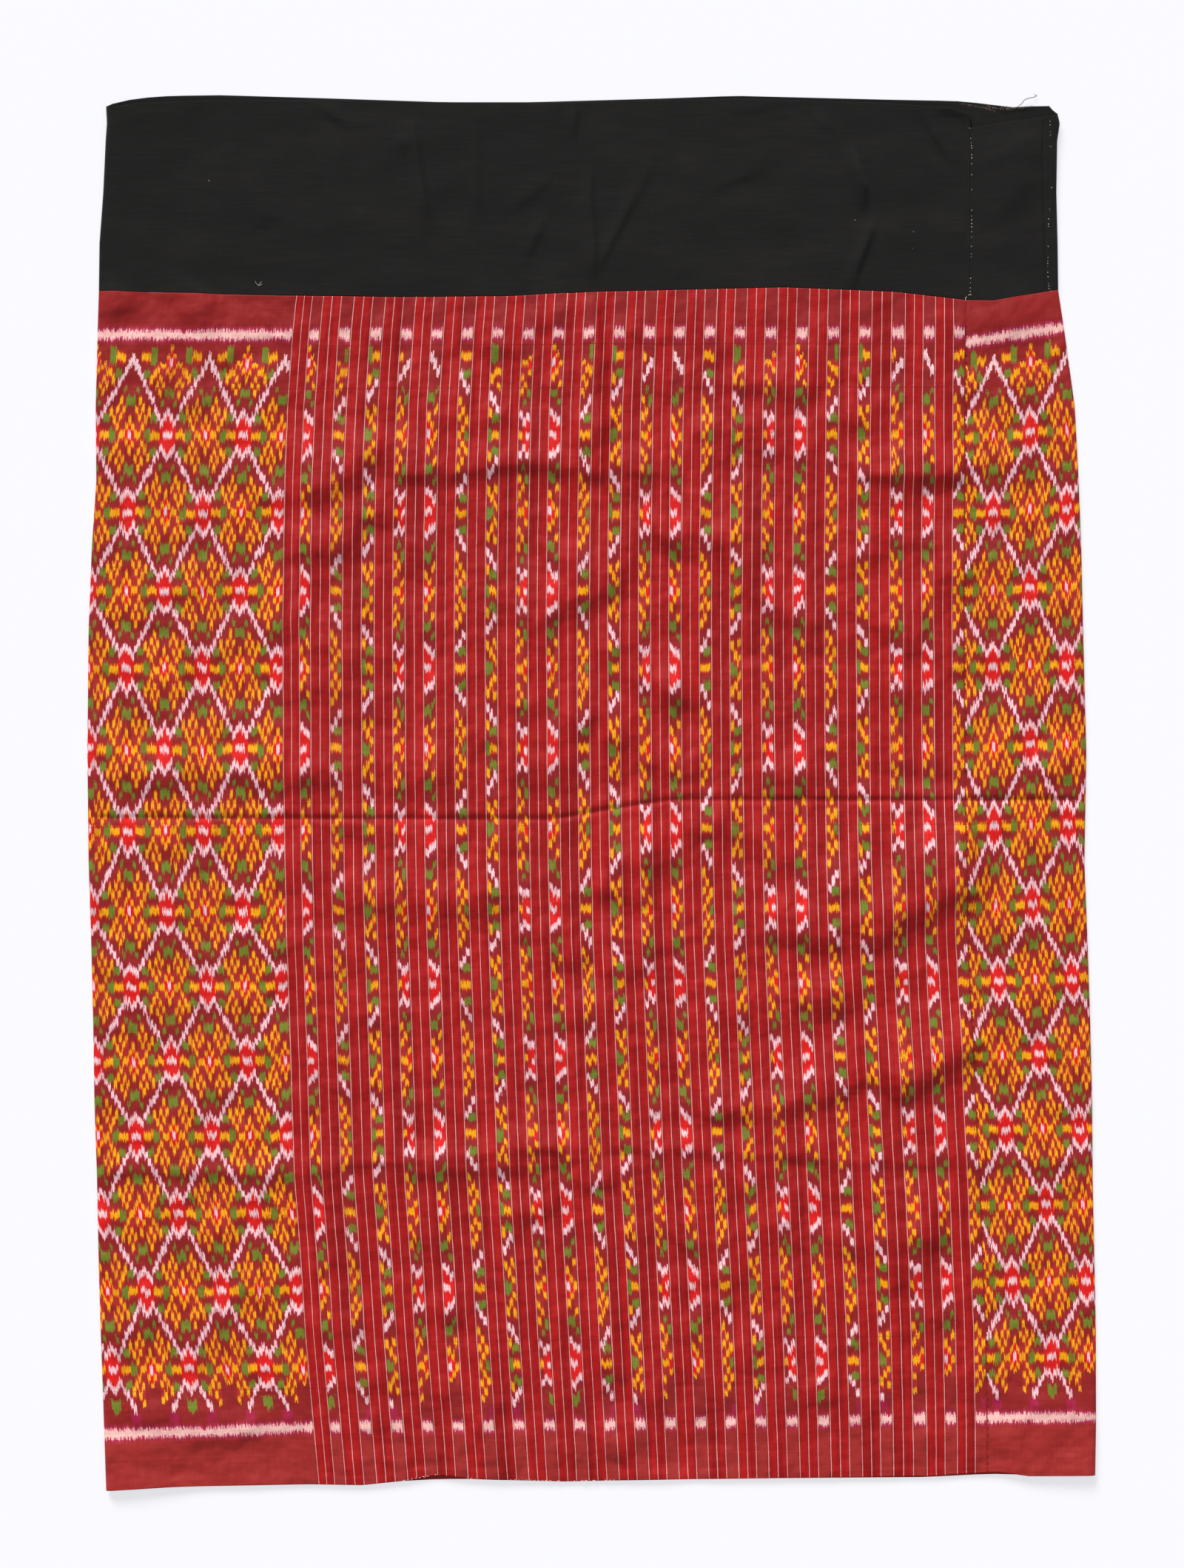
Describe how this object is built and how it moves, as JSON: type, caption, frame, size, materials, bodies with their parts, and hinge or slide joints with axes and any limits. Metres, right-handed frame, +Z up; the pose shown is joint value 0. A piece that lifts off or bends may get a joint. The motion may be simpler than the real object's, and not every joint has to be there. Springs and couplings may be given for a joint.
{
  "type": "ikat tube skirt",
  "caption": "Tube skirt of weft-ikat silk with a plain black cotton waistband, closed by one upright front seam and laid flat with its front layer on its back layer.",
  "frame": {"origin": "on the surface that the skirt lies on, under the middle of its box", "axes": "+Z up off the surface, +Y up the skirt towards the waistband, +X to the right of a viewer who looks down with the waist at the top"},
  "size_m": [0.7899, 1.0926, 0.0089],
  "materials": {
    "ikat_silk": "plain-woven weft-ikat silk in brick red with crimson, yellow, green and pale pink, soft sheen",
    "black_cotton": "matt plain-woven cotton, raw top edge"
  },
  "bodies": {
    "root": {"ikat_cloth": "ikat_silk", "waistband": "black_cotton", "waistband_insert": "black_cotton"}
  },
  "joints": []
}
